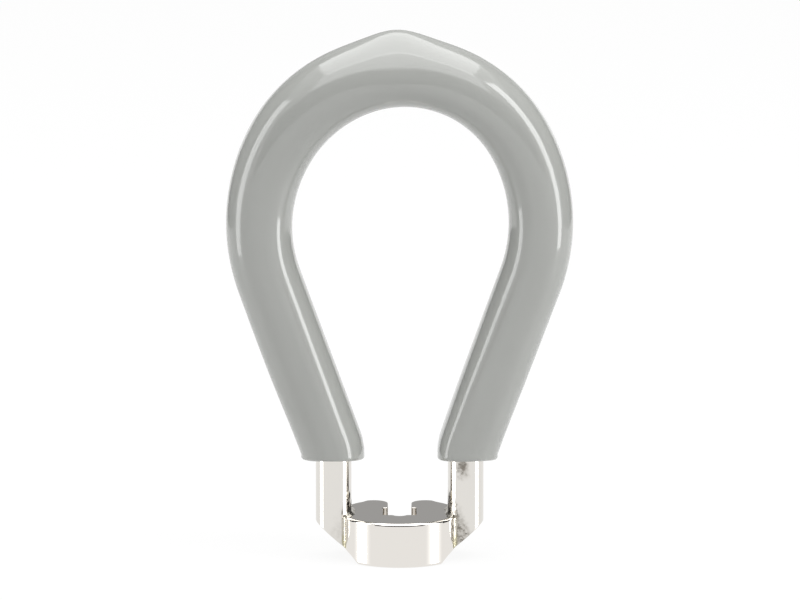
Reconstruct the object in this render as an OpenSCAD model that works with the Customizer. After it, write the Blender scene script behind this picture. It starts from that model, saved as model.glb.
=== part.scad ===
// Spoke wrench: a bent bar with a dipped vinyl grip and a brazed disc head.
// Millimetres. The origin is on the nipple's axis at the head's foot, +Z runs up
// the handle, X runs across the loop, and the spoke enters the head from +Y.

/* [Loop] */
// Width of the loop at its widest level, between the bar's centrelines
loop_w = 37.4; // [35:0.1:40]
// Centreline radius of the two side bends
side_r = 22.7; // [20:0.1:26]
// Angle above the widest level where a side bend becomes the top bend
join_angle = 28; // [20:1:40]
// Slope of the legs away from upright
leg_angle = 20.5; // [18:0.5:24]
// Centreline radius of the bends that bring the legs upright
bend_r = 4.5; // [3.5:0.5:8]
// Bare upright bar between the head's top and the edge of the coat
bare_leg = 7.45; // [6:0.05:12]

/* [Bar] */
// Width of the bar in the plane of the loop
bar_w = 4.76; // [4:0.02:6]
// Depth of the bar from front to back
bar_d = 7; // [6:0.1:8]
// Radius of the bar's long edges
bar_r = 2.1; // [1:0.1:2.2]

/* [Head] */
// Diameter of the disc
head_d = 16.1; // [15:0.1:18]
// Height of the disc
head_h = 6; // [5:0.1:8]
// Radius turned on the disc's two rims
rim_edge_r = 0.4; // [0.2:0.05:0.8]
// Square nipple seat, across the flats
seat_w = 4.5; // [3.4:0.05:5]
// Width of the slot that lets the spoke in from the back
entry_w = 3.1; // [2.4:0.05:3.3]
// Radius of the lobes at the slot's mouth
lobe_r = 1.9; // [1.2:0.1:2.4]
// Radius of the relief in the seat's closed end
relief_r = 1; // [0.6:0.05:1.5]
// Depth of the relief beyond the seat's closed end
relief_depth = 0.6; // [0.3:0.05:1]
// How far each leg is let into the side of the disc
notch_depth = 1.75; // [1.2:0.05:2.2]
// Width of the flat foot between the bevels
foot_w = 11.1; // [9:0.1:13]
// Slope of the bevels under the head and the legs
bevel_angle = 45; // [35:1:55]

/* [Braze] */
// Film of braze between a leg and its notch
braze_gap = 0.1; // [0.05:0.01:0.2]
// Width of a braze fillet on each face that it wets
braze_leg = 0.5; // [0.3:0.05:0.8]

/* [Coat] */
// Thickness of the vinyl round the loop
coat = 1.95; // [1.2:0.05:2.5]
// Thickness of the vinyl at its open ends
coat_end = 1.75; // [1:0.05:2]
// Length of bar over which the coat thins towards an open end
thin_len = 40; // [20:1:60]
// Rounding of the open ends
coat_edge_r = 0.4; // [0.3:0.05:0.9]
// Length of upright leg that the coat's open end covers
coat_lap = 0.4; // [0.2:0.05:2]
// Squareness of the coat's section on the inside of the loop, where 2 is an ellipse
coat_square = 3; // [2.5:0.1:4]
// Squareness of the section on the outside of the loop
outer_square = 2.5; // [2:0.1:3]
// Squareness of the outside at the top, where the vinyl gathered into a ridge
crown_square = 2; // [1.8:0.1:3]
// How far the deepest line of the section lies inwards of the bar's centreline
belly_in = 0.5; // [0:0.05:1]
// How far inwards that line lies at the top of the loop
crown_belly_in = 1; // [0:0.05:1.4]
// Extra thickness of the ridge at the top
crown_h = 0.25; // [0:0.05:0.5]
// Length of bar over which the ridge fades on each side of the top
crown_len = 16; // [8:1:30]
// Height of the drip at the top of the loop
drip_h = 1; // [0.3:0.05:1.5]
// Width of the drip at half its height, along the bar's centreline
drip_w = 5.6; // [3:0.1:8]

/* [Hidden] */
$fn = 96;

nickel = [0.86, 0.84, 0.80];
braze_metal = [0.76, 0.70, 0.47];
grey_vinyl = [0.66, 0.67, 0.65];

// How far a cutter runs past the face that it cuts
overcut = 1;
// How far a run of the bar is tucked into a bend, and how much the bend swells
tuck = 0.3;
bend_swell = 0.01;
// How far a lobe's arc crosses the disc's rim, so that the two meet in an edge
lobe_cross = 0.05;
// How far a seam's fillet runs into the leg, for the same reason
seam_tuck = 0.05;
// Points round the coat's section
section_points = 32;
// Steps round the open end's rounding
edge_steps = 4;
// Largest ring spacing along the straight legs, the bends and the drip
leg_ring_gap = 5;
bend_ring_gap = 2;
drip_ring_gap = 1.2;

// Places along the handle, worked out from the head upwards
head_r = head_d/2;
leg_x = head_r - notch_depth + braze_gap + bar_w/2;
leg_inner_x = leg_x - bar_w/2;
coat_z = head_h + bare_leg;
bend_z = coat_z + coat_lap;
side_x = side_r - loop_w/2;
leg_run = (side_r*cos(leg_angle) - side_x - leg_x - bend_r*(1 - cos(leg_angle)))/sin(leg_angle);
run_z = bend_z + bend_r*sin(leg_angle);
wide_z = run_z + leg_run*cos(leg_angle) + side_r*sin(leg_angle);
top_r = side_r - side_x/cos(join_angle);
top_z = wide_z + side_x*tan(join_angle);

// Centreline lengths from an open end of the coat to the top of the loop
degree = PI/180;
bend_end = coat_lap + bend_r*leg_angle*degree;
leg_end = bend_end + leg_run;
side_end = leg_end + side_r*(leg_angle + join_angle)*degree;
half_len = side_end + top_r*(90 - join_angle)*degree;

// Point on the right half of the centreline at a distance s from the coat's
// open end, as [x, z, direction of the outward normal]
function path_at(s) =
    s < coat_lap ? [leg_x, coat_z + s, 0]
    : s < bend_end ? bend_at((s - coat_lap)/bend_r/degree)
    : s < leg_end ? leg_at(s - bend_end)
    : s < side_end ? side_at((s - leg_end)/side_r/degree - leg_angle)
    : top_at((s - side_end)/top_r/degree + join_angle);
function bend_at(a) = [leg_x + bend_r*(1 - cos(a)), bend_z + bend_r*sin(a), -a];
function leg_at(d) =
    let (start = bend_at(leg_angle))
    [start[0] + d*sin(leg_angle), start[1] + d*cos(leg_angle), -leg_angle];
function side_at(a) = [side_r*cos(a) - side_x, wide_z + side_r*sin(a), a];
function top_at(a) = [top_r*cos(a), top_z + top_r*sin(a), a];

// Thickness of the coat, less the rounding at its open end
function coat_at(s) =
    coat - (coat - coat_end)*pow(1 - min(1, s/thin_len), 2) - edge_inset(s);
function edge_inset(s) =
    s < coat_edge_r ? coat_edge_r - sqrt(pow(coat_edge_r, 2) - pow(coat_edge_r - s, 2)) : 0;
// Extra thickness of the drip on the outside of the loop
function drip_at(s) = drip_h*exp(-ln(2)*pow(2*(half_len - s)/drip_w, 2));

// Even steps between two distances, without the first
function steps(from, to, gap) =
    let (count = max(1, ceil((to - from)/gap)))
    [for (i = [1:count]) from + (to - from)*i/count];
edge_rings = [for (i = [0:edge_steps]) coat_edge_r*(1 - cos(90*i/edge_steps))];
half_rings = concat(
    edge_rings,
    steps(coat_edge_r, bend_end, bend_ring_gap),
    steps(bend_end, leg_end, leg_ring_gap),
    steps(leg_end, side_end, bend_ring_gap),
    steps(side_end, half_len, drip_ring_gap)
);

// How far the ridge at the top has grown, from 0 down the sides to 1 at the top
function crown_at(s) = exp(-pow((half_len - s)/crown_len, 2));
function between(low, high, share) = low + (high - low)*share;

// One ring of the coat's surface; side is 1 on the right and -1 on the left. Its
// outer and inner halves meet at the deepest line of the section.
function squared(c, square) = sign(c)*pow(abs(c), 2/square);
function coat_ring(s, side) =
    let (
        p = path_at(s),
        belly = between(belly_in, crown_belly_in, crown_at(s)),
        outer_reach = bar_w/2 + coat_at(s) + crown_h*crown_at(s) + drip_at(s) + belly,
        inner_reach = bar_w/2 + coat_at(s) - belly,
        deep = bar_d/2 + coat_at(s),
        ridge_square = between(outer_square, crown_square, crown_at(s))
    )
    [for (k = [0:section_points - 1])
        let (
            a = 360*k/section_points,
            reach = cos(a) > 0 ? outer_reach : inner_reach,
            square = cos(a) > 0 ? ridge_square : coat_square,
            u = reach*squared(cos(a), square) - belly
        )
        [side*(p[0] + u*cos(p[2])), deep*squared(sin(a), square), p[1] + u*sin(p[2])]];

// The bar's section, with its width along X and its depth along Y
module bar_section(swell = 0) {
    inner_w = bar_w - 2*bar_r;
    inner_d = bar_d - 2*bar_r;
    corner_r = bar_r + swell;
    square([inner_w, inner_d + 2*corner_r], center = true);
    square([inner_w + 2*corner_r, inner_d], center = true);
    for (x = [-1, 1], y = [-1, 1]) translate([x*inner_w/2, y*inner_d/2]) circle(corner_r);
}

// A bend of the bar in the XY plane between two directions from its centre
module bar_bend(radius, from, to, swell = 0) {
    rotate([0, 0, from]) rotate_extrude(angle = to - from) translate([radius, 0]) bar_section(swell);
}

// The upright leg on the right, from the foot's level into its bend
module leg_bar() {
    translate([leg_x, 0, 0]) linear_extrude(bend_z + tuck) bar_section();
}

// The whole bent bar with its leg ends still square. The bends swell a little,
// so that each run's tucked end lies inside the bend beside it.
module bent_bar() {
    top_tuck = tuck/top_r/degree;
    run_start = bend_at(leg_angle);
    for (side = [0, 1])
        mirror([side, 0, 0]) {
            leg_bar();
            rotate([90, 0, 0]) {
                translate([leg_x + bend_r, bend_z])
                    bar_bend(bend_r, 180 - leg_angle, 180, bend_swell);
                translate([run_start[0], run_start[1]]) rotate([0, 0, -leg_angle]) rotate([-90, 0, 0])
                    translate([0, 0, -tuck]) linear_extrude(leg_run + 2*tuck) bar_section();
                translate([-side_x, wide_z]) bar_bend(side_r, -leg_angle, join_angle, bend_swell);
            }
        }
    rotate([90, 0, 0])
        translate([0, top_z]) bar_bend(top_r, join_angle - top_tuck, 180 - join_angle + top_tuck);
}

// What the bevels take off under the head and both legs
module foot_bevels() {
    reach = head_d + 2*bar_w;
    for (side = [0, 1])
        mirror([side, 0, 0])
            translate([foot_w/2, 0, 0]) rotate([0, -bevel_angle, 0])
                translate([0, -reach/2, -reach]) cube([reach, reach, reach]);
}

// The turned blank of the head, with rounded rims
module disc() {
    rotate_extrude() {
        translate([0, rim_edge_r]) square([head_r, head_h - 2*rim_edge_r]);
        square([head_r - rim_edge_r, head_h]);
        for (z = [rim_edge_r, head_h - rim_edge_r])
            translate([head_r - rim_edge_r, z]) circle(rim_edge_r);
    }
}

// The block that a leg's notch takes out of the right side of the disc
module notch_block() {
    notch_d = bar_d + 2*braze_gap;
    translate([leg_inner_x - braze_gap, -notch_d/2, -overcut])
        cube([notch_depth + overcut, notch_d, head_h + 2*overcut]);
}

// Plan of the nipple seat, its relief and the spoke's way in
module seat_plan() {
    relief_y = relief_r - relief_depth - seat_w/2;
    lobe_x = entry_w/2 + lobe_r;
    lobe_y = sqrt(pow(head_r - lobe_r + lobe_cross, 2) - pow(lobe_x, 2));
    beyond = (head_r + overcut)/norm([lobe_x, lobe_y]);
    square(seat_w, center = true);
    translate([0, relief_y]) circle(relief_r);
    translate([-entry_w/2, 0]) square([entry_w, head_r + overcut]);
    for (side = [0, 1])
        mirror([side, 0])
            difference() {
                polygon([[0, lobe_y], [lobe_x, lobe_y], [lobe_x, lobe_y]*beyond, [0, head_r + overcut]]);
                translate([lobe_x, lobe_y]) circle(lobe_r);
            }
}

// The disc with its seat and notches cut, before the bevels
module slotted_disc() {
    difference() {
        disc();
        translate([0, 0, -overcut]) linear_extrude(head_h + 2*overcut) seat_plan();
        for (side = [0, 1]) mirror([side, 0, 0]) notch_block();
    }
}

// A fillet that reaches from inside a corner out to two points on its faces. Its
// hollow face is an arc whose centre makes an even triangle with those points.
module hollow_fillet(inside, first, second) {
    chord = second - first;
    centre = (first + second)/2 + [chord[1], -chord[0]]*sin(60);
    difference() {
        polygon([inside, first, second]);
        translate(centre) circle(norm(chord));
    }
}

// Distance of the right leg's front face from the middle, at a place across the leg
function leg_front(x) =
    let (into_edge = max(0, leg_inner_x + bar_r - x))
    bar_d/2 - bar_r + sqrt(pow(bar_r, 2) - pow(into_edge, 2));

// Braze of the right leg: it fills the notch round the leg, a fillet along the
// front and back seams, and a bead across the head's top
module braze_joint() {
    seam_angle = asin(bar_d/2/head_r);
    wet_angle = seam_angle + braze_leg/head_r/degree;
    wet_x = head_r*cos(seam_angle) + braze_leg;
    on_leg = [wet_x, leg_front(wet_x) - seam_tuck];
    on_disc = head_r*[cos(wet_angle), sin(wet_angle)];
    top_corner = [leg_inner_x, head_h];
    difference() {
        union() {
            intersection() {
                notch_block();
                disc();
            }
            for (side = [0, 1])
                mirror([0, side, 0])
                    linear_extrude(head_h - rim_edge_r)
                        hollow_fillet([leg_inner_x, 0], on_leg, on_disc);
            rotate([90, 0, 0])
                linear_extrude(bar_d - 2*bar_r, center = true)
                    hollow_fillet(
                        [leg_x, head_h/2],
                        top_corner + [0, braze_leg],
                        top_corner - [braze_leg, 0]
                    );
        }
        slotted_disc();
        leg_bar();
        foot_bevels();
    }
}

module steel_loop() {
    color(nickel)
        difference() {
            bent_bar();
            foot_bevels();
        }
}

module wrench_head() {
    color(nickel)
        difference() {
            slotted_disc();
            foot_bevels();
        }
}

module left_braze() {
    color(braze_metal) mirror([1, 0, 0]) braze_joint();
}

module right_braze() {
    color(braze_metal) braze_joint();
}

// The coat is lofted through its rings, up the right side and down the left
module vinyl_grip() {
    half = len(half_rings);
    rings = concat(
        [for (s = half_rings) coat_ring(s, 1)],
        [for (i = [half - 2:-1:0]) coat_ring(half_rings[i], -1)]
    );
    points = [for (ring = rings) each ring];
    last = (len(rings) - 1)*section_points;
    walls = [
        for (i = [0:len(rings) - 2], k = [0:section_points - 1])
            let (
                a = i*section_points + k,
                b = i*section_points + (k + 1)%section_points,
                c = b + section_points,
                d = a + section_points
            )
            each [[a, c, b], [a, d, c]]
    ];
    start_cap = [for (k = [0:section_points - 1]) k];
    end_cap = [for (k = [section_points - 1:-1:0]) last + k];
    color(grey_vinyl)
        difference() {
            polyhedron(points, concat(walls, [start_cap, end_cap]));
            bent_bar();
        }
}

steel_loop();
wrench_head();
left_braze();
right_braze();
vinyl_grip();
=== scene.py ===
# %% [markdown]
# A spoke wrench with a loop handle. One steel bar is bent into a drop-shaped loop and
# dipped in grey vinyl, and its two bare ends are brazed to a small plated head that
# turns spoke nipples. The CAD parts are loaded first, as a frame that never moves. Each
# of them is then dressed with a finer mesh and a finish of its own, in the same place.

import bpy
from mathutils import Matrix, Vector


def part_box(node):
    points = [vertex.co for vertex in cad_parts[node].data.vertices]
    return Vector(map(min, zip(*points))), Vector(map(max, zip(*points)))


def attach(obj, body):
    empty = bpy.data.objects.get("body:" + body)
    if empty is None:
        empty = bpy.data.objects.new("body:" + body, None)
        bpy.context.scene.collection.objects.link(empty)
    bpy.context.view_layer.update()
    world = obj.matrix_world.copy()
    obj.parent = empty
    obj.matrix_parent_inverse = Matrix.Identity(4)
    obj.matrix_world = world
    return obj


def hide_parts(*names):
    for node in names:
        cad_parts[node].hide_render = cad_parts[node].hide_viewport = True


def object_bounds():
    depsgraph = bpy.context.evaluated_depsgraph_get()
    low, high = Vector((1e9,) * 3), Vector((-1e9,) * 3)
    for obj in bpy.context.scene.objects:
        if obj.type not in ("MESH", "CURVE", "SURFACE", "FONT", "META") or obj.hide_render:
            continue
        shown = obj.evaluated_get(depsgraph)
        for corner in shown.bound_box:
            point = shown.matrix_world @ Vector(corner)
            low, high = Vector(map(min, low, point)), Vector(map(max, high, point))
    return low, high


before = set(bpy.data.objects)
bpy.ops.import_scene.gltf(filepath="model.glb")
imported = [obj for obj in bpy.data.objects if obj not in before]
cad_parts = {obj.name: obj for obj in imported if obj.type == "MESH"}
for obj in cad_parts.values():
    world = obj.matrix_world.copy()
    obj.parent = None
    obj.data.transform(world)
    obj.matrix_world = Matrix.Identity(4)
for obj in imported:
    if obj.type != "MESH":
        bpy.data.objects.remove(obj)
cad_low, cad_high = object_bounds()
print("frame:", sorted(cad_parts), "from", cad_low, "to", cad_high)

# %% [markdown]
# The rest comes from Python and from Blender itself. Shapes are written in millimetres,
# as a maker measures them, and become Blender's metres only where a mesh or a place is
# handed over. The loop has two like halves, so a side is a number that x is multiplied
# by.

# %% Modules, the unit and the two sides
import math

import bmesh
import bpy
from mathutils import Matrix, Vector, noise

scene = bpy.context.scene
MM = 0.001
RIGHT, LEFT = 1, -1
print("one millimetre is", MM, "metres")

# %% [markdown]
# The photo looks at the front of the loop from a little above, through a long lens, so
# upright edges stay upright. A camera could be placed by eye, but it is safer to work
# it out: a lens, a sensor and the number of pixels that one millimetre covers give the
# distance, and the point of the tool that lies in the middle of the picture gives the
# aim.

# %% Camera
view_elevation = math.radians(11.5)
lens_mm = 600.0
sensor_mm = 36.0
picture_w_px = 800
px_per_mm = 7.536
aim = Vector((0.05, 0.0, 34.7)) * MM

camera_distance = lens_mm / sensor_mm * picture_w_px / px_per_mm * MM
towards_camera = Vector((0, -math.cos(view_elevation), math.sin(view_elevation)))
camera = bpy.data.objects.new("camera", bpy.data.cameras.new("camera"))
camera.data.lens = lens_mm
camera.data.sensor_width = sensor_mm
camera.location = aim + towards_camera * camera_distance
camera.rotation_mode = "QUATERNION"
camera.rotation_quaternion = towards_camera.to_track_quat("Z", "Y")
scene.collection.objects.link(camera)
scene.camera = camera
scene.view_settings.view_transform = "Standard"
print("camera distance (m):", round(camera_distance, 3))

# %% [markdown]
# Shader trees are easier to read when a node is made in one line. Two helpers do that:
# one feeds a socket from a number, a colour or another node's output, and the other
# adds a node with its settings and inputs. Two more do the sums and the soft steps that
# nearly every tree needs.

# %% Helpers for shader trees
def plug(tree, value, socket):
    """Feeds a socket from another node's output, or sets it to a plain value."""
    if isinstance(value, bpy.types.NodeSocket):
        tree.links.new(value, socket)
    else:
        socket.default_value = value


def add_node(tree, kind, inputs=None, **settings):
    """Adds a shader node with its settings, and feeds the inputs that are given."""
    node = tree.nodes.new("ShaderNode" + kind)
    for name, value in settings.items():
        setattr(node, name, value)
    for key, value in (inputs or {}).items():
        plug(tree, value, node.inputs[key])
    return node


def calculate(tree, operation, first, second=0.0, third=0.0):
    """One sum of two or three values, each a number or a node's output."""
    node = add_node(tree, "Math", {0: first, 1: second, 2: third}, operation=operation)
    return node.outputs["Value"]


def spread(tree, value, low, high, out_low=0.0, out_high=1.0):
    """Maps the stretch from low to high smoothly onto another one."""
    inputs = {"Value": value, "From Min": low, "From Max": high, "To Min": out_low, "To Max": out_high}
    node = add_node(tree, "MapRange", inputs, interpolation_type="SMOOTHSTEP")
    return node.outputs["Result"]


print("shader helpers ready")

# %% [markdown]
# Bright metal and glossy vinyl show the room around them, so the light is built from
# what a small product studio has: a tall softbox at each side, two overhead, and an
# even glow from all round. A softbox is an area light, and its power is worked out from
# the brightness that its face should have, because that is what a reflection shows.

# %% Softboxes
def aimed(azimuth, elevation, distance):
    """A place by degrees right of the front, degrees up and metres away, facing the tool."""
    a = math.radians(azimuth)
    e = math.radians(elevation)
    away = Vector((math.sin(a) * math.cos(e), -math.cos(a) * math.cos(e), math.sin(e)))
    turn = away.to_track_quat("Z", "Y").to_matrix().to_4x4()
    return Matrix.Translation(aim + away * distance) @ turn


def softbox(name, place, width, height, brightness):
    """An area light with a face of the given size in metres and brightness."""
    lamp = bpy.data.lights.new(name, "AREA")
    lamp.shape = "RECTANGLE"
    lamp.size = width
    lamp.size_y = height
    lamp.energy = brightness * math.pi * width * height
    box = bpy.data.objects.new(name, lamp)
    box.matrix_world = place
    box.visible_camera = False
    scene.collection.objects.link(box)
    return box


right_azimuth = 70
left_azimuth = -77
softbox("right_softbox", aimed(right_azimuth, 17, 0.6), width=0.20, height=0.78, brightness=6.6)
softbox("left_softbox", aimed(left_azimuth, 10.5, 0.6), width=0.24, height=0.65, brightness=3.8)
softbox("front_overhead_softbox", aimed(0, 55.5, 0.75), width=0.9, height=0.36, brightness=1.8)
softbox("rear_overhead_softbox", aimed(180, 84, 0.7), width=0.88, height=0.80, brightness=3.2)

# %% [markdown]
# Between the softboxes a studio is darker than its white table, and that is what gives
# polished metal its shape. Plain dark cards stand where the room would be. Two more stand
# behind and below the side softboxes. They are a little brighter than the table and fade
# to its white at their rims, like the light that spills from a softbox: without them, a
# white stripe on the metal ends too hard. Cards show only in reflections: the camera
# doesn't see them, and they light and shade nothing.

# %% Cards that the metal reflects
WHITE = (1, 1, 1, 1)
table_grey = 1.0
skirt = {"height": 1.2, "grey": 1.68, "rim_grey": table_grey}


def card(name, place, width, height, grey, rim_grey=None):
    """A glowing rectangle that only reflections see, of one grey or fading to its rim."""
    mesh = bpy.data.meshes.new(name)
    w, h = width / 2, height / 2
    mesh.from_pydata([(-w, -h, 0), (w, -h, 0), (w, h, 0), (-w, h, 0)], [], [(0, 1, 2, 3)])
    material = bpy.data.materials.new(name)
    material.use_nodes = True
    tree = material.node_tree
    tree.nodes.clear()
    glow = add_node(tree, "Emission", {"Color": WHITE, "Strength": grey})
    if rim_grey is not None:
        spot = add_node(tree, "SeparateXYZ", {0: add_node(tree, "TexCoord").outputs["Object"]})
        across = spread(tree, calculate(tree, "ABSOLUTE", spot.outputs["X"]), 0, w, 1, 0)
        along = spread(tree, calculate(tree, "ABSOLUTE", spot.outputs["Y"]), 0, h, 1, 0)
        middle = calculate(tree, "MULTIPLY", across, along)
        fade = calculate(tree, "MULTIPLY_ADD", middle, grey - rim_grey, rim_grey)
        plug(tree, fade, glow.inputs["Strength"])
    add_node(tree, "OutputMaterial", {"Surface": glow.outputs["Emission"]})
    material.cycles.emission_sampling = "NONE"
    mesh.materials.append(material)
    board = bpy.data.objects.new(name, mesh)
    board.matrix_world = place
    board.visible_camera = False
    board.visible_diffuse = False
    board.visible_transmission = False
    board.visible_shadow = False
    scene.collection.objects.link(board)
    return board


card("front_card", aimed(0, 20, 1.2), width=2.6, height=0.76, grey=0.05)
card("right_rear_card", aimed(120, 18, 1.0), width=1.3, height=1.1, grey=0.05)
card("left_rear_card", aimed(-122, 18, 1.0), width=1.2, height=1.1, grey=0.08)
card("back_card", aimed(180, 32, 1.2), width=1.4, height=1.3, grey=0.38)
card("right_skirt_card", aimed(right_azimuth, -11.5, 1.05), width=0.74, **skirt)
card("left_skirt_card", aimed(left_azimuth, -11.5, 1.05), width=0.80, **skirt)

# %% [markdown]
# The picture has a white ground. Making a floor white with more lamps would bleach the
# tool, so the white is a matter of who looks: for the camera, and for rays that leave a
# shiny or clear surface, the sky glows at plain white. All other light sees a pale matte
# floor and a soft sky. The floor is white for the camera too, but a share of the matte
# stays in it, and that share carries the shadow. Shiny surfaces look past the floor into
# the white, so the shadow doesn't darken the metal.

# %% Floor and sky
def seen_directly(tree):
    """1 for rays from the camera, a shiny surface or a clear one, and 0 for others."""
    path = add_node(tree, "LightPath")
    shiny = calculate(tree, "MAXIMUM", path.outputs["Is Camera Ray"], path.outputs["Is Glossy Ray"])
    return calculate(tree, "MAXIMUM", shiny, path.outputs["Is Transmission Ray"])


sky_glow = 0.10
sky = bpy.data.worlds.new("studio")
sky.use_nodes = True
tree = sky.node_tree
background = tree.nodes["Background"]
plug(tree, spread(tree, seen_directly(tree), 0, 1, sky_glow, 1.0), background.inputs["Strength"])
plug(tree, WHITE, background.inputs["Color"])
scene.world = sky

floor_half = 3.0
floor_tone = (0.8, 0.8, 0.8, 1)
white_share = 0.9
pale_floor = bpy.data.materials.new("pale_floor")
pale_floor.use_nodes = True
tree = pale_floor.node_tree
tree.nodes.clear()
matte = add_node(tree, "BsdfDiffuse", {"Color": floor_tone})
white = add_node(tree, "Emission", {"Color": WHITE, "Strength": 1.0})
share = calculate(tree, "MULTIPLY", seen_directly(tree), white_share)
mix = add_node(tree, "MixShader", {0: share, 1: matte.outputs["BSDF"], 2: white.outputs["Emission"]})
add_node(tree, "OutputMaterial", {"Surface": mix.outputs["Shader"]})

mesh = bpy.data.meshes.new("floor")
corners = [(-floor_half, -floor_half, 0), (floor_half, -floor_half, 0)]
corners += [(floor_half, floor_half, 0), (-floor_half, floor_half, 0)]
mesh.from_pydata(corners, [], [(0, 1, 2, 3)])
mesh.materials.append(pale_floor)
floor = bpy.data.objects.new("floor", mesh)
floor.location.z = cad_low.z
floor.visible_glossy = False
scene.collection.objects.link(floor)
print("floor at", floor.location.z, "with sky glow", sky_glow)

# %% [markdown]
# Every piece is drawn from a few sizes. Those that the boxes of the CAD parts show are
# read from the frame, so they can't disagree with it. The others, such as the radius of
# a bend, don't show in a box and are written down here.

# %% Sizes in millimetres
head_low, head_high = (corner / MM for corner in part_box("wrench_head"))
bar_low, bar_high = (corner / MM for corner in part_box("steel_loop"))
coat_low, coat_high = (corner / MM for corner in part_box("vinyl_grip"))
head_r = -head_low.y
head_h = head_high.z
bar_d = bar_high.y - bar_low.y
coat_t = coat_high.y - bar_high.y
coat_z = coat_low.z

bar_w = 4.76
bar_edge_r = 2.1
notch_depth = 1.75
braze_gap = 0.1
loop_w = 37.4
side_r = 22.7
bend_r = 4.5
coat_lap = 0.4
leg_slope = math.radians(20.5)
join_slope = math.radians(28)
print("head (mm):", round(2 * head_r, 2), "across,", round(head_h, 2), "high; bar:", bar_w)

# %% [markdown]
# The bar's centreline is the line that both the steel and the vinyl follow: up an
# upright leg, round a small bend, out along a slanted leg, round a wide side bend and
# over the top. Reading points off the CAD mesh would give a rough line, so the same few
# arcs are worked out again here.

# %% Centreline
leg_x = head_r - notch_depth + braze_gap + bar_w / 2
leg_inner_x = leg_x - bar_w / 2
bend_z = coat_z + coat_lap
side_x = side_r - loop_w / 2
run_x = leg_x + bend_r * (1 - math.cos(leg_slope))
run_z = bend_z + bend_r * math.sin(leg_slope)
leg_run = (side_r * math.cos(leg_slope) - side_x - run_x) / math.sin(leg_slope)
wide_z = run_z + leg_run * math.cos(leg_slope) + side_r * math.sin(leg_slope)
top_r = side_r - side_x / math.cos(join_slope)
top_z = wide_z + side_x * math.tan(join_slope)

bend_end = coat_lap + bend_r * leg_slope
leg_end = bend_end + leg_run
side_end = leg_end + side_r * (leg_slope + join_slope)
half_len = side_end + top_r * (math.pi / 2 - join_slope)


def centreline(s):
    """Point x, z and outward slope on the right half, s along from the coat's open end."""
    if s < coat_lap:
        return leg_x, coat_z + s, 0.0
    if s < bend_end:
        a = (s - coat_lap) / bend_r
        return leg_x + bend_r * (1 - math.cos(a)), bend_z + bend_r * math.sin(a), -a
    if s < leg_end:
        d = s - bend_end
        return run_x + d * math.sin(leg_slope), run_z + d * math.cos(leg_slope), -leg_slope
    if s < side_end:
        a = (s - leg_end) / side_r - leg_slope
        return side_r * math.cos(a) - side_x, wide_z + side_r * math.sin(a), a
    a = (s - side_end) / top_r + join_slope
    return top_r * math.cos(a), top_z + top_r * math.sin(a), a


print("half of the loop (mm):", round(half_len, 2), "long, its top at", round(top_z + top_r, 2))

# %% [markdown]
# Steel and vinyl are both swept along that line. A reflection is only as smooth as the
# normals under it, so each section's points are placed at even steps of the normal's
# direction, not of length: flats get few points, and every rounding gets many. Both the
# bar's rounded rectangle and the coat's squarer oval have a formula for that.

# %% Sections across the bar
section_points = 96
facings = [2 * math.pi * (k + 0.5) / section_points for k in range(section_points)]


def bar_section(facing, half_w, half_d, edge_r):
    """Point of a rounded rectangle where its surface faces the given direction."""
    c, s = math.cos(facing), math.sin(facing)
    return (
        math.copysign(half_w - edge_r, c) + edge_r * c,
        math.copysign(half_d - edge_r, s) + edge_r * s,
    )


def oval_section(facing, half_w, half_d, squareness):
    """Point of a squared oval where its surface faces the given direction."""
    c, s = math.cos(facing), math.sin(facing)
    root = 1 / (squareness - 1)
    x = (half_w**squareness * abs(c)) ** root
    y = (half_d**squareness * abs(s)) ** root
    size = ((x / half_w) ** squareness + (y / half_d) ** squareness) ** (-1 / squareness)
    return math.copysign(x * size, c), math.copysign(y * size, s)


def on_bar(s, side, outward, depth):
    """Point at a place in the section across the bar, as seen from the centreline."""
    x, z, slope = centreline(s)
    return Vector((side * (x + outward * math.cos(slope)), depth, z + outward * math.sin(slope)))


print("points round each section:", section_points)

# %% [markdown]
# A swept body is a row of rings with quads between them, and a face at each end where it
# isn't closed on itself. Every piece of the tool is made from such rings, so the helpers
# come first. The last one hands a mesh to the frame: it rides on the tool's one body,
# stands for a CAD part and hides that part's own mesh.

# %% Helpers for swept meshes
def even_steps(start, end, gap):
    """Places from start towards end, no further apart than gap, without the end."""
    count = max(1, math.ceil((end - start) / gap))
    return [start + (end - start) * i / count for i in range(count)]


def all_points(rings):
    """The points of all rings, one ring after another."""
    return [p for ring in rings for p in ring]


def ring_faces(rings, closed):
    """Quads between each ring of points and the next, and back to the first if closed."""
    count = len(rings[0])
    faces = []
    for i in range(len(rings) if closed else len(rings) - 1):
        j = (i + 1) % len(rings)
        for k in range(count):
            n = (k + 1) % count
            faces.append((i * count + k, i * count + n, j * count + n, j * count + k))
    return faces


def end_faces(rings):
    """The two faces that close a sweep at its first and its last ring."""
    count = len(rings[0])
    last = (len(rings) - 1) * count
    return [tuple(range(count)), tuple(range(last, last + count))]


def new_piece(name, points, faces, node):
    """A smooth mesh that stands for a CAD node and rides with the tool. Points in mm."""
    mesh = bpy.data.meshes.new(name)
    mesh.from_pydata([p * MM for p in points], [], faces)
    shape = bmesh.new()
    shape.from_mesh(mesh)
    bmesh.ops.recalc_face_normals(shape, faces=shape.faces)
    shape.to_mesh(mesh)
    shape.free()
    mesh.polygons.foreach_set("use_smooth", [True] * len(mesh.polygons))
    piece = bpy.data.objects.new(name, mesh)
    scene.collection.objects.link(piece)
    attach(piece, "root")
    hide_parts(node)
    return piece


print("helpers for rings ready")

# %% [markdown]
# The grip is vinyl that the bent bar was dipped in. A tube with a solidify modifier would
# be quick, but dipped vinyl isn't even. It is thickest round the loop and thins a little
# towards the legs. It has a drip at the top, where the last of it ran off while the tool
# hung upside down, and it gathered inside the left shoulder and outside the legs. Each of
# these is a small formula along the loop, so each can be changed by itself.

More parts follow.
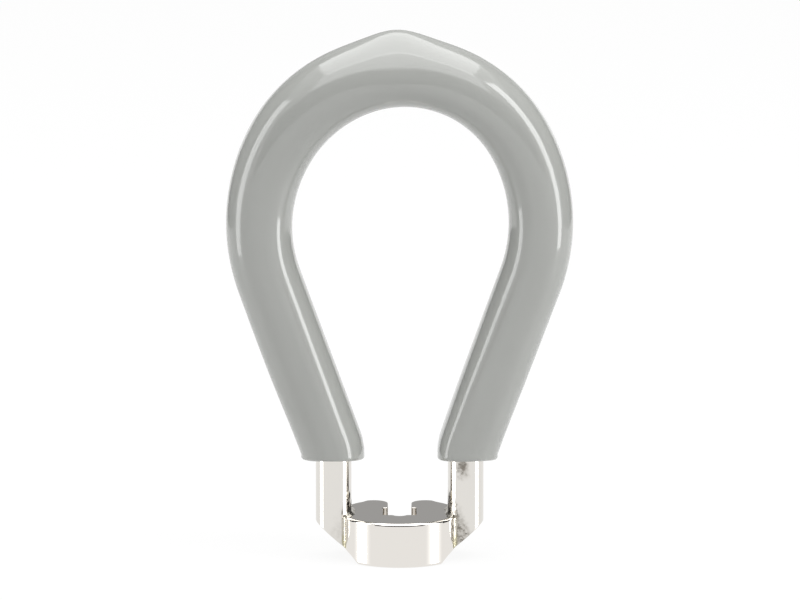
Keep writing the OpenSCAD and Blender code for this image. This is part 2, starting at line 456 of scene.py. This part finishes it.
# %% How the vinyl lies on the bar
coat_end_t = 1.75
thin_len = 40.0
lip_r = 0.4
crown_len = 16.0
drip_h = 1.0
drip_w = 5.6
drip_shift = 0.3
sag_h = 0.8
sag_from_tip = 13.3
sag_len = 15.0
thin_inside = 0.35
thin_inside_len = 12.0
full_h = {RIGHT: 0.05, LEFT: 0.26}
full_s = 15.0
full_len = 11.0
lip_flare = 0.2
lip_flare_len = 4.0


def coat_thickness(s):
    """Thickness of the vinyl, less the rounding of its open end."""
    thickness = coat_t - (coat_t - coat_end_t) * (1 - min(1, s / thin_len)) ** 2
    if s < lip_r:
        thickness -= lip_r - math.sqrt(lip_r**2 - (lip_r - s) ** 2)
    return thickness


def drip(s, side):
    """Extra height of the drip, which ran off a little to the left of the middle."""
    from_tip = half_len - s + side * drip_shift
    return drip_h * math.exp(-math.log(2) * (2 * from_tip / drip_w) ** 2)


def crown(s):
    """How far the ridge at the top has grown, from 0 down the sides to 1 at the top."""
    return math.exp(-(((half_len - s) / crown_len) ** 2))


def gathered_inside(s, side):
    """Vinyl that gathered inside the left shoulder, less what the right leg lacks inside."""
    from_tip = side * (half_len - s)
    sag = sag_h * math.exp(-(((from_tip + sag_from_tip) / sag_len) ** 2))
    return sag if side == LEFT else sag - thin_inside * math.exp(-s / thin_inside_len)


def gathered_outside(s, side):
    """Vinyl that gathered outside the legs, half-way up and at the open ends."""
    full = full_h[side] * math.exp(-(((s - full_s) / full_len) ** 2))
    return full + lip_flare * math.exp(-s / lip_flare_len)


print("vinyl (mm):", round(coat_t, 2), "round the loop,", round(coat_thickness(lip_r), 2), "at its ends")

# %% [markdown]
# Across the bar the coat is a squared oval in two halves, one outside the loop and one
# inside it, that meet where the coat is deepest. How square each half is decides where a
# highlight lies and how broad it is. The outside gets rounder towards the top and turns
# into a roof at the drip, and the inside is squarer on the right leg than on the left.

# %% Section of the grip
outer_square = 2.5
crown_square = 2.0
drip_square = 0.4
inner_square = 2.3
leg_square = {RIGHT: 3.0, LEFT: 2.1}
leg_square_len = 16.0
crown_h = 0.25
belly_in = 0.5
crown_belly_in = 1.0


def inside_square(s, side):
    """How square the inside is: the right leg's is squarer, and the left leg's is rounder."""
    share = math.exp(-((s / leg_square_len) ** 2))
    return inner_square + (leg_square[side] - inner_square) * share


def coat_section(facing, s, side):
    """Point of the coat's outside, across the bar, where it faces the given direction."""
    reach = bar_w / 2 + coat_thickness(s)
    belly = belly_in + (crown_belly_in - belly_in) * crown(s)
    if math.cos(facing) > 0:
        reach += crown_h * crown(s) + drip(s, side) + gathered_outside(s, side) + belly
        square = outer_square + (crown_square - outer_square) * crown(s)
        square -= drip_square * drip(s, side) / drip_h
    else:
        reach += gathered_inside(s, side) - belly
        square = inside_square(s, side)
    u, y = oval_section(facing, reach, bar_d / 2 + coat_thickness(s), square)
    return u - belly, y


tip_u, tip_y = coat_section(0, half_len, RIGHT)
print("coat above the centreline at the top (mm):", round(tip_u, 2))

# %% [markdown]
# The ends of the coat are nearly level lines, as the surface of the bath left them. They
# rise a little to the front and wander, and that shift dies away up the leg. A slow
# ripple all over the coat keeps its highlights from looking drawn. A displace modifier
# could add it, but would push the skin that lies against the bar as well, so ripple and
# shift are both worked into the rings.

# %% Rings of the grip
lip_wander = 0.07
lip_seed = 3
lip_drop = 0.33
lip_tilt = 0.14
lip_fade = 2
ripple = 0.035
ripple_size = 7.0


def dip_line(s, side, facing, y):
    """How far the coat's end lies off level: it rises to the front and wanders a little."""
    wander = lip_wander * noise.noise(Vector((side * lip_seed, facing, 0)))
    return (wander - lip_drop + lip_tilt * max(0, -y)) * math.exp(-s / lip_fade)


def coat_ring(s, side):
    """One ring of the grip's outside, with the slight ripple that dipping leaves."""
    ring = []
    for facing in facings:
        u, y = coat_section(facing, s, side)
        shift = dip_line(s, side, facing, y)
        point = on_bar(s + shift, side, u, y)
        dent = ripple * (0.5 + 0.5 * noise.noise(point / ripple_size))
        u -= dent * math.cos(facing)
        y -= dent * math.sin(facing)
        ring.append(on_bar(s + shift, side, u, y))
    return ring


def bar_ring(s, side, grow=0.0, follows_dip=False):
    """One ring round the bar, or a little outside it, level or along the coat's end."""
    ring = []
    for facing in facings:
        u, y = bar_section(facing, bar_w / 2 + grow, bar_d / 2 + grow, bar_edge_r + grow)
        shift = dip_line(s, side, facing, y) if follows_dip else 0.0
        ring.append(on_bar(s + shift, side, u, y))
    return ring


print("the coat's ends drop by about (mm):", lip_drop)

# %% [markdown]
# The skin is one sweep that closes on itself: up the outside of the right half and down
# the left, round the left lip, and back along the bar to the right lip. Each lip is two
# quarter turns, a wide one outside and a narrow one against the bar.

# %% Shape of the grip
inner_lip_r = 0.2
lip_steps = 8
ring_gap = 0.7
quarter = [i / lip_steps * math.pi / 2 for i in range(lip_steps)]
lip = [lip_r * (1 - math.cos(a)) for a in quarter]
half_stations = lip + even_steps(lip_r, half_len, ring_gap)
inner_lip = [(inner_lip_r * (1 - math.sin(a)), inner_lip_r * (1 - math.cos(a))) for a in quarter]
inner_stations = even_steps(inner_lip_r, half_len, 2 * ring_gap)

rings = [coat_ring(s, RIGHT) for s in half_stations] + [coat_ring(half_len, RIGHT)]
rings += [coat_ring(s, LEFT) for s in reversed(half_stations)]
rings += [bar_ring(s, LEFT, grow, True) for s, grow in reversed(inner_lip)]
rings += [bar_ring(s, LEFT, 0, True) for s in inner_stations]
rings += [bar_ring(s, RIGHT, 0, True) for s in reversed(inner_stations)]
rings += [bar_ring(s, RIGHT, grow, True) for s, grow in inner_lip]
grip = new_piece("dipped_grip", all_points(rings), ring_faces(rings, True), "vinyl_grip")
print("grip:", len(rings), "rings,", len(grip.data.polygons), "faces")

# %% [markdown]
# The loop is one length of flat steel bar with rounded edges. Its ends stand upright,
# and both are cut off at a slope that carries on the bevels under the head, a little
# flatter than they are. The bar is swept along the centreline like the grip, all the way
# round inside it. On the legs each ring leans towards the sloping foot, so that no face
# has to be cut, and the foot's edge is rounded by a few more rings.

# %% Shape of the bar
foot_w = 11.1
foot_slope = 0.88
foot_edge_r = 0.15
leg_step = 0.04
edge_steps = 6
seam_x = math.sqrt(head_r**2 - (bar_d / 2 + braze_gap) ** 2)
edge_turns = [i / edge_steps * math.pi / 2 for i in range(edge_steps + 1)]


def leg_ring(side, share, inset=0.0, lift=0.0):
    """One ring of a leg, from its sloping foot at share 0 to the coat's lip at share 1."""
    ring = []
    for facing in facings:
        u, y = bar_section(facing, bar_w / 2 - inset, bar_d / 2 - inset, bar_edge_r - inset)
        foot_s = seam_x - foot_w / 2 + foot_slope * (leg_x + u - seam_x) - coat_z
        ring.append(on_bar(foot_s * (1 - share) + lift, side, u, y))
    return ring


def leg_rings(side):
    """The rings of one leg, from the rounded edge of its foot upwards."""
    rings = []
    for a in edge_turns:
        inset = foot_edge_r * (1 - math.sin(a))
        lift = foot_edge_r * (1 - math.cos(a))
        rings.append(leg_ring(side, 0, inset, lift))
    return rings + [leg_ring(side, share) for share in even_steps(leg_step, 1, leg_step)]


loop_stations = even_steps(0, half_len, ring_gap)
rings = leg_rings(RIGHT) + [bar_ring(s, RIGHT) for s in loop_stations] + [bar_ring(half_len, RIGHT)]
rings += [bar_ring(s, LEFT) for s in reversed(loop_stations)] + list(reversed(leg_rings(LEFT)))
faces = ring_faces(rings, False) + end_faces(rings)
bar = new_piece("plated_bar", all_points(rings), faces, "steel_loop")
for face in bar.data.polygons:
    face.use_smooth = len(face.vertices) == 4
print("bar:", len(rings), "rings,", len(bar.data.polygons), "faces")

# %% [markdown]
# The head is a turned disc. Its rims are rounded, a square seat and the spoke's slot are
# milled through it from the back, and a notch at each side takes a leg. Cutting a disc
# with booleans leaves ragged edges that are hard to round, so the plan is drawn as one
# closed line. Every corner of the line gets the small rounding that a deburred edge has.

# %% Helpers for the plan of the head
arc_step = 0.22
arc_least = 8
sharp_turn = math.radians(155)
corner_cut = 0.25
corner_clear = 1.3 * corner_cut
corner_steps = 5


def arc(x, y, radius, start, end):
    """Points along an arc in plan, from one angle to another."""
    count = max(arc_least, math.ceil(abs(end - start) * radius / arc_step))
    turns = [start + (end - start) * i / count for i in range(count + 1)]
    return [Vector((x + radius * math.cos(t), y + radius * math.sin(t))) for t in turns]


def is_sharp(points, i):
    """Whether a closed line turns sharply at one of its points."""
    before = points[i - 1] - points[i]
    after = points[(i + 1) % len(points)] - points[i]
    return before.angle(after) < sharp_turn


def corners_rounded(points):
    """The closed line with each sharp corner replaced by a short curve."""
    sharp = [p for i, p in enumerate(points) if is_sharp(points, i)]
    clear = [p for p in points if p in sharp or min((p - q).length for q in sharp) > corner_clear]
    line = []
    for i, corner in enumerate(clear):
        if corner not in sharp:
            line.append(corner)
            continue
        first = corner + (clear[i - 1] - corner).normalized() * corner_cut
        last = corner + (clear[(i + 1) % len(clear)] - corner).normalized() * corner_cut
        shares = [k / corner_steps for k in range(corner_steps + 1)]
        line += [first.lerp(corner, t).lerp(corner.lerp(last, t), t) for t in shares]
    return line


print("corners are cut back by (mm):", corner_cut)

# %% [markdown]
# One half of the plan is enough, because the other is its mirror. It runs round the disc
# from the front, into the leg's notch and out again, over the round lobe beside the slot,
# along the slot and the seat, and ends in the hollow at the front of the seat.

# %% Plan of the head
seat_w = 4.5
entry_w = 3.1
lobe_r = 1.9
relief_r = 1.0
relief_depth = 0.6
seat_half = seat_w / 2
entry_half = entry_w / 2
relief_y = relief_r - relief_depth - seat_half
notch_x = leg_inner_x - braze_gap
notch_half = bar_d / 2 + braze_gap

lobe_x = entry_half + lobe_r
lobe_y = math.sqrt((head_r - lobe_r) ** 2 - lobe_x**2)
lobe_turn = math.atan2(lobe_y, lobe_x)
notch_turn = math.asin(notch_half / head_r)
relief_turn = math.asin((-seat_half - relief_y) / relief_r)
seat_corners = ((entry_half, seat_half), (seat_half, seat_half), (seat_half, -seat_half))
right_plan = arc(0, 0, head_r, -math.pi / 2, -notch_turn)
right_plan += [Vector((notch_x, -notch_half)), Vector((notch_x, notch_half))]
right_plan += arc(0, 0, head_r, notch_turn, lobe_turn)
right_plan += arc(lobe_x, lobe_y, lobe_r, lobe_turn, math.pi)[1:]
right_plan += [Vector(corner) for corner in seat_corners]
right_plan += arc(0, relief_y, relief_r, relief_turn, -math.pi / 2)
left_plan = [Vector((-p.x, p.y)) for p in reversed(right_plan[1:-1])]
plan = corners_rounded(right_plan + left_plan)
print("plan of the head:", len(plan), "points")

# %% [markdown]
# The plan becomes a body by stacking it: the same line again and again, drawn in by a
# little at each step where an edge turns over. The turned rims turn over in a wide curve
# and the milled edges in a narrow one. On the rims, the curve widens with the distance
# from the nearest milled edge.

# %% Shape of the head
rim_r = 0.4
rim_miss = 0.002
burr_r = 0.08
burr_widens = 0.35
wall_steps = 6
wall_start = 1.05


def turned_in(i):
    """Direction in plan that draws both edges at a point in by one."""
    before = (plan[i] - plan[i - 1]).normalized()
    after = (plan[(i + 1) % len(plan)] - plan[i]).normalized()
    first = Vector((before.y, -before.x))
    second = Vector((after.y, -after.x))
    return -(first + second) / (1 + first.dot(second))


inward = [turned_in(i) for i in range(len(plan))]
milled = [p for p in plan if abs(p.length - head_r) > rim_miss]
turn_r = [min(rim_r, burr_r + burr_widens * min((p - q).length for q in milled)) for p in plan]


def head_ring(inset, rise, from_top):
    """One ring of the head: a share of each edge's rounding inwards, and one up or down."""
    ring = []
    for p, aim_in, r in zip(plan, inward, turn_r):
        edge = p + aim_in * (inset * r)
        ring.append(Vector((edge.x, edge.y, head_h - rise * r if from_top else rise * r)))
    return ring


rings = [head_ring(1 - math.sin(a), 1 - math.cos(a), False) for a in edge_turns]
low = head_ring(0, wall_start, False)
high = head_ring(0, wall_start, True)
rings += [[p.lerp(q, i / wall_steps) for p, q in zip(low, high)] for i in range(wall_steps + 1)]
rings += [head_ring(1 - math.cos(a), 1 - math.sin(a), True) for a in edge_turns]
faces = ring_faces(rings, False) + end_faces(rings)
head = new_piece("nipple_head", all_points(rings), faces, "wrench_head")
print("head:", len(rings), "rings of", len(plan), "points")

# %% [markdown]
# The underside of the head has a bevel at each side. A cut would take the rounding off
# the foot's edges, so the foot is only creased along the bevels, and whatever hangs below
# their slope is then lifted: all of the way at the foot, and less and less towards the
# top.

# %% Bevels under the head
crease = 0.15
foot_level_m = 1e-7
cut_gap_m = 1e-8
level_normal = 0.999


def bevel_lift(x):
    """How far the bevels lie above the foot's level, with a soft crease."""
    past = abs(x) - foot_w / 2
    if past < -crease:
        return 0.0
    return past if past > crease else (past + crease) ** 2 / (4 * crease)


creases = [side * (foot_w / 2 + off) for side in (LEFT, RIGHT) for off in (-crease, 0, crease)]
shape = bmesh.new()
shape.from_mesh(head.data)
for x in creases:
    foot = [f for f in shape.faces if max(v.co.z for v in f.verts) < foot_level_m]
    edges = list(dict.fromkeys(e for f in foot for e in f.edges))
    ends = list(dict.fromkeys(v for f in foot for v in f.verts))
    place = (x * MM, 0, 0)
    parts = foot + edges + ends
    bmesh.ops.bisect_plane(shape, geom=parts, plane_co=place, plane_no=(1, 0, 0), dist=cut_gap_m)
for face in shape.faces:
    face.smooth = abs(face.normal.z) < level_normal
for vertex in shape.verts:
    z = vertex.co.z / MM
    vertex.co.z += bevel_lift(vertex.co.x / MM) * (1 - z / head_h) * MM
shape.to_mesh(head.data)
shape.free()
print("head with its bevels:", len(head.data.polygons), "faces")

# %% [markdown]
# Each leg is held in its notch by braze: a film all round the leg, a hollow fillet down
# the seams at the front and back, and a bead across the top of the head. An even fillet
# would look machined, because real braze is lumpy. So the widths in it wander with a
# noise, and its edges are sunk a little into the metal beside them.

# %% Seams of the braze
braze_leg = 0.5
seam_climb = 0.25
seam_wander = 0.25
seam_apart = 4
seam_sink = 0.03
wander_waves = 0.6
hollowness = 0.45
hollow_steps = 6


def wobble(place, seed, amount):
    """A share around 1 that wanders from place to place."""
    return 1 + amount * noise.noise(place * wander_waves + Vector((seed, 0, 0)))


def hollow(first, second, corner):
    """A hollow curve between two points that bends towards the corner between them."""
    bend = (first + second) / 2 * (1 - hollowness) + corner * hollowness
    shares = [i / hollow_steps for i in range(hollow_steps + 1)]
    return [first.lerp(bend, t).lerp(bend.lerp(second, t), t) for t in shares]


def leg_front(x):
    """Distance of a leg's front face from the middle, at a place across the leg."""
    into_edge = max(0, leg_inner_x + bar_edge_r - x)
    return bar_d / 2 - bar_edge_r + math.sqrt(bar_edge_r**2 - into_edge**2)


def seam(share, seed, back):
    """The hollow of a seam at one level, from the leg to the disc."""
    wet = braze_leg * wobble(Vector((0, seam_apart * back, share * head_h)), seed, seam_wander)
    on_leg = Vector((seam_x + wet, back * (leg_front(seam_x + wet) - seam_sink)))
    disc_turn = notch_turn + seam_climb * wet / head_r
    on_disc = Vector((math.cos(disc_turn), back * math.sin(disc_turn))) * (head_r - seam_sink)
    return hollow(on_leg, on_disc, Vector((seam_x, back * leg_front(seam_x))))


print("seams at x (mm):", round(seam_x, 2), "and about", braze_leg, "wide")

# %% [markdown]
# The film and its two seams are one upright body, from the bevel to just under the head's
# top. Each of its levels is one closed outline: along the seam at the front, behind the
# notch's wall, back along the other seam, and through the inside of the leg.

# %% Film of the braze
leg_sink = 0.12
notch_sink_x = 0.15
notch_sink_y = 0.1
film_low = 0.05
film_high = 0.15
leg_inside = [f for f in facings if math.cos(f) < 0]


def film_ring(share, seed):
    """One level of the film, with the seams' fillets, from the bevel to the head's top."""
    sunk = (bar_w / 2 - leg_sink, bar_d / 2 - leg_sink, bar_edge_r - leg_sink)
    leg_wall = [bar_section(f, *sunk) for f in leg_inside]
    deep_x = notch_x - notch_sink_x
    deep_y = notch_half + notch_sink_y
    outline = seam(share, seed, -1) + [Vector((deep_x, -deep_y)), Vector((deep_x, deep_y))]
    outline += list(reversed(seam(share, seed, 1)))
    outline += [Vector((leg_x + u, y)) for u, y in leg_wall]
    ring = []
    for p in outline:
        bottom = bevel_lift(p.x) + film_low
        ring.append(Vector((p.x, p.y, bottom + (head_h - film_high - bottom) * share)))
    return ring


print("points round the leg's inner side:", len(leg_inside))

# %% [markdown]
# The bead is a second body, a thin tube that follows the leg's outline on top of the
# head. Only its hollow upper side will show. The other sides are simply deep enough to
# reach into the leg, the head and the film.

# %% Bead of the braze
bead_wander = 0.5
bead_seed = 5
bead_sink = 0.04
bead_root = 0.3
bead_lift = 0.05
bead_back = 0.7
bead_under = 0.8
flat_steps = 6


def bead_ring(x, y, away, seed):
    """One section of the bead on the head's top, beside the leg."""
    place = Vector((x, y, head_h))
    rise = braze_leg * wobble(place, seed, bead_wander)
    run = braze_leg * wobble(place, seed + bead_seed, bead_wander)
    up = Vector((0, 0, 1))
    out = Vector((away.x, away.y, 0))
    on_leg = place - out * bead_sink + up * rise
    on_head = place + out * run - up * bead_sink
    wet = hollow(on_leg, on_head, place + up * bead_lift)
    root = place - out * bead_root
    under = place + out * run * bead_under - up * bead_root
    return [root + up * rise * bead_back, *wet, under, root - up * bead_root]


def bead_path():
    """Places along the top seam round the leg, with the direction away from the leg."""
    path = []
    for facing in leg_inside:
        u, y = bar_section(facing, bar_w / 2, bar_d / 2, bar_edge_r)
        path.append((leg_x + u, y, Vector((math.cos(facing), math.sin(facing)))))
    middle = len(path) // 2
    x, y, away = path[middle]
    flat = [(x, -y * (1 - i / flat_steps), Vector((-1, 0))) for i in range(1, 2 * flat_steps)]
    return path[:middle] + flat + path[middle:]


print("places along the bead:", len(bead_path()))

# %% [markdown]
# A voxel remesh melts film and bead into one skin, as heat did with the real ones: it
# keeps the outside of whatever overlaps and softens the creases between. The left braze
# is made like the right one and mirrored, but its noise starts elsewhere, so the two
# don't look like copies.

# %% Shape of the brazes
voxel = 0.07
film_levels = 24
bead_end = head_r * 0.9
braze_sides = (("braze_left", "left_braze", LEFT, 11.0), ("braze_right", "right_braze", RIGHT, 23.0))


def joined(bodies):
    """Points and faces of several closed tubes, each a list of rings, as one mesh."""
    points = []
    faces = []
    for rings in bodies:
        base = len(points)
        points += all_points(rings)
        faces += [tuple(base + i for i in face) for face in ring_faces(rings, False) + end_faces(rings)]
    return points, faces


brazes = []
for name, node, side, seed in braze_sides:
    film = [film_ring(i / film_levels, seed) for i in range(film_levels + 1)]
    bead = [bead_ring(x, y, away, seed) for x, y, away in bead_path() if x < bead_end]
    points, faces = joined([film, bead])
    braze = new_piece(name, [Vector((side * p.x, p.y, p.z)) for p in points], faces, node)
    remesh = braze.modifiers.new("melt", "REMESH")
    remesh.mode = "VOXEL"
    remesh.voxel_size = voxel * MM
    remesh.use_smooth_shade = True
    brazes.append(braze)
bpy.context.view_layer.update()
print("brazes:", [o.name for o in brazes])

# %% [markdown]
# A tool that is held gets faint smears that break up its gloss. Vinyl and plating both
# have them, so they are one node group: a soft, distorted noise whose brightest parts are
# the smears. Each finish places the group with its own size and cover.

# %% Shared effect: smears from handling
def new_group(name, amounts, outputs):
    """A shader group that takes a place and named amounts, and its two end nodes."""
    group = bpy.data.node_groups.new(name, "ShaderNodeTree")
    group.interface.new_socket("Place", in_out="INPUT", socket_type="NodeSocketVector")
    for label, value in amounts.items():
        socket = group.interface.new_socket(label, in_out="INPUT", socket_type="NodeSocketFloat")
        socket.default_value = value
    for label in outputs:
        group.interface.new_socket(label, in_out="OUTPUT", socket_type="NodeSocketFloat")
    return group, group.nodes.new("NodeGroupInput"), group.nodes.new("NodeGroupOutput")


def use_group(tree, group, inputs):
    """Places a group in a material with its own values."""
    node = tree.nodes.new("ShaderNodeGroup")
    node.node_tree = group
    for label, value in inputs.items():
        plug(tree, value, node.inputs[label])
    return node


def noise_value(tree, place, scale, detail=2.0, distortion=0.0):
    """Soft noise from 0 to 1 at a number of waves to the metre."""
    inputs = {"Vector": place, "Scale": scale, "Detail": detail, "Distortion": distortion}
    return add_node(tree, "TexNoise", inputs).outputs["Fac"]


smear_edge = 0.25
smears, enter, leave = new_group("handling_smears", {"Scale": 100, "Cover": 0.5}, ["Smear"])
cloud = noise_value(smears, enter.outputs["Place"], enter.outputs["Scale"], detail=5.0, distortion=1.5)
lower = calculate(smears, "SUBTRACT", 1.0, enter.outputs["Cover"])
upper = calculate(smears, "ADD", lower, smear_edge)
plug(smears, spread(smears, cloud, lower, upper), leave.inputs["Smear"])
print("group:", smears.name, [item.name for item in smears.interface.items_tree])

# %% [markdown]
# The vinyl is a light grey with a trace of green. Its gloss is high but not perfect:
# dipping leaves an orange-peel skin and slow waves, and handling dulls it in places. The
# colour drifts a little from place to place. All of it comes from noise in the part's own
# frame, so nothing slides or stretches.

# %% Finish of the vinyl grip
def new_finish(name):
    """A material with its tree, its shader and the place in the part's own frame."""
    material = bpy.data.materials.new(name)
    material.use_nodes = True
    tree = material.node_tree
    place = add_node(tree, "TexCoord").outputs["Object"]
    return material, tree, tree.nodes["Principled BSDF"], place


def toned(tree, shader, share, first, second):
    """Colours a surface from one tone to another by a share from 0 to 1."""
    tone = add_node(tree, "Mix", {"Factor": share}, data_type="RGBA")
    plug(tree, first, tone.inputs["A"])
    plug(tree, second, tone.inputs["B"])
    plug(tree, tone.outputs["Result"], shader.inputs["Base Color"])


def bumped(tree, shader, height, depth):
    """Raises the surface by a height that a depth in metres is multiplied by."""
    bump = add_node(tree, "Bump", {"Height": height, "Distance": depth, "Strength": 1.0})
    plug(tree, bump.outputs["Normal"], shader.inputs["Normal"])


vinyl_dark = (0.308, 0.314, 0.299, 1)
vinyl_light = (0.334, 0.340, 0.325, 1)
vinyl_ior = 1.53
wave_share = 4.0
peel_depth = 4e-6
vinyl, tree, shader, place = new_finish("grey_vinyl")
toned(tree, shader, noise_value(tree, place, scale=90), vinyl_dark, vinyl_light)
smear = use_group(tree, smears, {"Place": place, "Scale": 130, "Cover": 0.45}).outputs["Smear"]
plug(tree, spread(tree, smear, 0, 1, out_low=0.08, out_high=0.14), shader.inputs["Roughness"])
plug(tree, vinyl_ior, shader.inputs["IOR"])
peel = noise_value(tree, place, scale=900)
wave = noise_value(tree, place, scale=170, detail=1.0)
bumped(tree, shader, calculate(tree, "MULTIPLY_ADD", wave, wave_share, peel), peel_depth)
grip.data.materials.append(vinyl)
print("finish:", vinyl.name, "with", len(tree.nodes), "nodes")

# %% [markdown]
# Bright nickel is thin, so it shows what lies under it: a coarse grain wherever the steel
# was heated or never polished, and a trace of it elsewhere. Bar, head and braze all have
# some of it, so this is a node group too. Its grain is two noises, and the cover says how
# much of it shows, as height and as dullness.

# %% Shared effect: grain under the plating
fine_share = 0.5
grain_dull = 0.2
grain, enter, leave = new_group("plating_grain", {"Cover": 0.5}, ["Height", "Dull"])
coarse = noise_value(grain, enter.outputs["Place"], scale=2600, distortion=0.6)
fine = noise_value(grain, enter.outputs["Place"], scale=7000, detail=1.0)
rough = calculate(grain, "MULTIPLY_ADD", fine, fine_share, coarse)
plug(grain, calculate(grain, "MULTIPLY", rough, enter.outputs["Cover"]), leave.inputs["Height"])
plug(grain, spread(grain, enter.outputs["Cover"], 0, 1, 0.0, grain_dull), leave.inputs["Dull"])
print("group:", grain.name, [item.name for item in grain.interface.items_tree])

# %% [markdown]
# On the bare legs the nickel turns coarse and dull in two places: beside the seams, where
# the braze was heated, most of all at the right one, and just under the vinyl on the right
# leg. Painting a mask by hand would need an image, so each place is a mask in the part's
# own frame: a stretch of x and of z, whose edge a noise makes ragged.

# %% Where the bar is coarse
ragged = 1.6 * MM
lip_patch_x = (7.7 * MM, 8.9 * MM)
lip_patch_z = (10.8 * MM, 11.8 * MM)
lip_patch_edge = 0.5 * MM
seam_patch = (10.0 * MM, 12.4 * MM)
seam_patch_slant = 0.55
left_share = 0.2
patch_noise = (0.35, 0.65)
patch_least = 0.45
grain_least = 0.01
grain_most = 0.98


def window(tree, value, low, high, soft):
    """1 while a value lies between two ends, falling softly to 0 outside them."""
    rise = spread(tree, value, low - soft, low + soft)
    fall = spread(tree, value, high - soft, high + soft, 1.0, 0.0)
    return calculate(tree, "MULTIPLY", rise, fall)


nickel, tree, shader, place = new_finish("bar_nickel")
axes = add_node(tree, "SeparateXYZ", {0: place})
stray = calculate(tree, "MULTIPLY_ADD", noise_value(tree, place, scale=900), ragged, -ragged / 2)
x = calculate(tree, "ADD", axes.outputs["X"], stray)
z = calculate(tree, "ADD", axes.outputs["Z"], stray)
across_lip = window(tree, x, *lip_patch_x, lip_patch_edge)
under_coat = calculate(tree, "MULTIPLY", across_lip, spread(tree, z, *lip_patch_z))
from_middle = calculate(tree, "ADD", calculate(tree, "ABSOLUTE", axes.outputs["X"]), stray)
slanted = calculate(tree, "MULTIPLY_ADD", z, seam_patch_slant, from_middle)
by_side = spread(tree, x, -MM, MM, left_share, 1)
by_seam = calculate(tree, "MULTIPLY", spread(tree, slanted, *seam_patch, 1, 0), by_side)
coarse_places = calculate(tree, "MAXIMUM", under_coat, by_seam)
patches = spread(tree, noise_value(tree, place, scale=2200), *patch_noise, patch_least, 1)
broken = calculate(tree, "MULTIPLY", coarse_places, patches)
cover = calculate(tree, "MULTIPLY_ADD", broken, grain_most, grain_least)
print("mask for the coarse places:", len(tree.nodes), "nodes")

# %% [markdown]
# The mask then drives everything that changes there. The colour goes from bright nickel
# to a dull brownish grey, partly the coarse plating's own colour and partly painted shade
# and painted dark reflections in the pits of its grain. The grain comes up and the gloss
# goes. Smears dull the bright faces a little, as they do on the vinyl.

# %% Finish of the bar
nickel_bright = (0.755, 0.732, 0.692, 1)
# The coarse tone is partly the dull plating's own colour and partly painted shade and painted dark
# reflection in the pits of the grain.
coarse_nickel_and_pit_shade = (0.260, 0.238, 0.204, 1)
grain_stretch = (0.9, 1.1, 1.6)
bar_grain_depth = 5e-5
toned(tree, shader, cover, nickel_bright, coarse_nickel_and_pit_shade)
lying = add_node(tree, "Mapping", {"Vector": place, "Scale": grain_stretch}).outputs["Vector"]
skin = use_group(tree, grain, {"Place": lying, "Cover": cover})
smear = use_group(tree, smears, {"Place": place, "Scale": 160, "Cover": 0.45}).outputs["Smear"]
gloss = spread(tree, smear, 0, 1, out_low=0.07, out_high=0.13)
plug(tree, calculate(tree, "ADD", gloss, skin.outputs["Dull"]), shader.inputs["Roughness"])
plug(tree, 1.0, shader.inputs["Metallic"])
bumped(tree, shader, skin.outputs["Height"], bar_grain_depth)
bar.data.materials.append(nickel)
print("finish:", nickel.name, "with", len(tree.nodes), "nodes")

# %% [markdown]
# The head was polished after turning, so its plating is the brightest part of the tool.
# A trace of grain and a few smears keep it from looking like a mirror in a catalogue.

# %% Finish of the head
head_tone = (0.790, 0.760, 0.718, 1)
head_grain_depth = 6e-5
polished, tree, shader, place = new_finish("head_nickel")
skin = use_group(tree, grain, {"Place": place, "Cover": 0.012})
smear = use_group(tree, smears, {"Place": place, "Scale": 190, "Cover": 0.42}).outputs["Smear"]
gloss = spread(tree, smear, 0, 1, out_low=0.045, out_high=0.09)
plug(tree, calculate(tree, "ADD", gloss, skin.outputs["Dull"]), shader.inputs["Roughness"])
plug(tree, head_tone, shader.inputs["Base Color"])
plug(tree, 1.0, shader.inputs["Metallic"])
bumped(tree, shader, skin.outputs["Height"], head_grain_depth)
head.data.materials.append(polished)
print("finish:", polished.name, "with", len(tree.nodes), "nodes")

# %% [markdown]
# Braze takes the plating badly: it stays coarse, and its brass shows through, most of
# all low down in the seams. The colour is a mix by height with a noise in it, and far more
# of the grain shows than on the bright faces of the bar and the head.

# %% Finish of the brazes
braze_low = (0.42, 0.39, 0.27, 1)
braze_high = (0.52, 0.49, 0.43, 1)
braze_turns = (3.5 * MM, 6.5 * MM)
braze_ragged = 4.0 * MM
braze_gloss = 0.12
braze_grain_depth = 6e-5
brassy, tree, shader, place = new_finish("braze_metal")
height = add_node(tree, "SeparateXYZ", {0: place}).outputs["Z"]
blotch = noise_value(tree, place, scale=700, detail=3.0)
patchy = calculate(tree, "MULTIPLY_ADD", blotch, braze_ragged, height)
toned(tree, shader, spread(tree, patchy, *braze_turns), braze_low, braze_high)
skin = use_group(tree, grain, {"Place": place, "Cover": 0.6})
plug(tree, calculate(tree, "ADD", braze_gloss, skin.outputs["Dull"]), shader.inputs["Roughness"])
plug(tree, 1.0, shader.inputs["Metallic"])
bumped(tree, shader, skin.outputs["Height"], braze_grain_depth)
for braze in brazes:
    braze.data.materials.append(brassy)
print("finish:", brassy.name, "with", len(tree.nodes), "nodes")
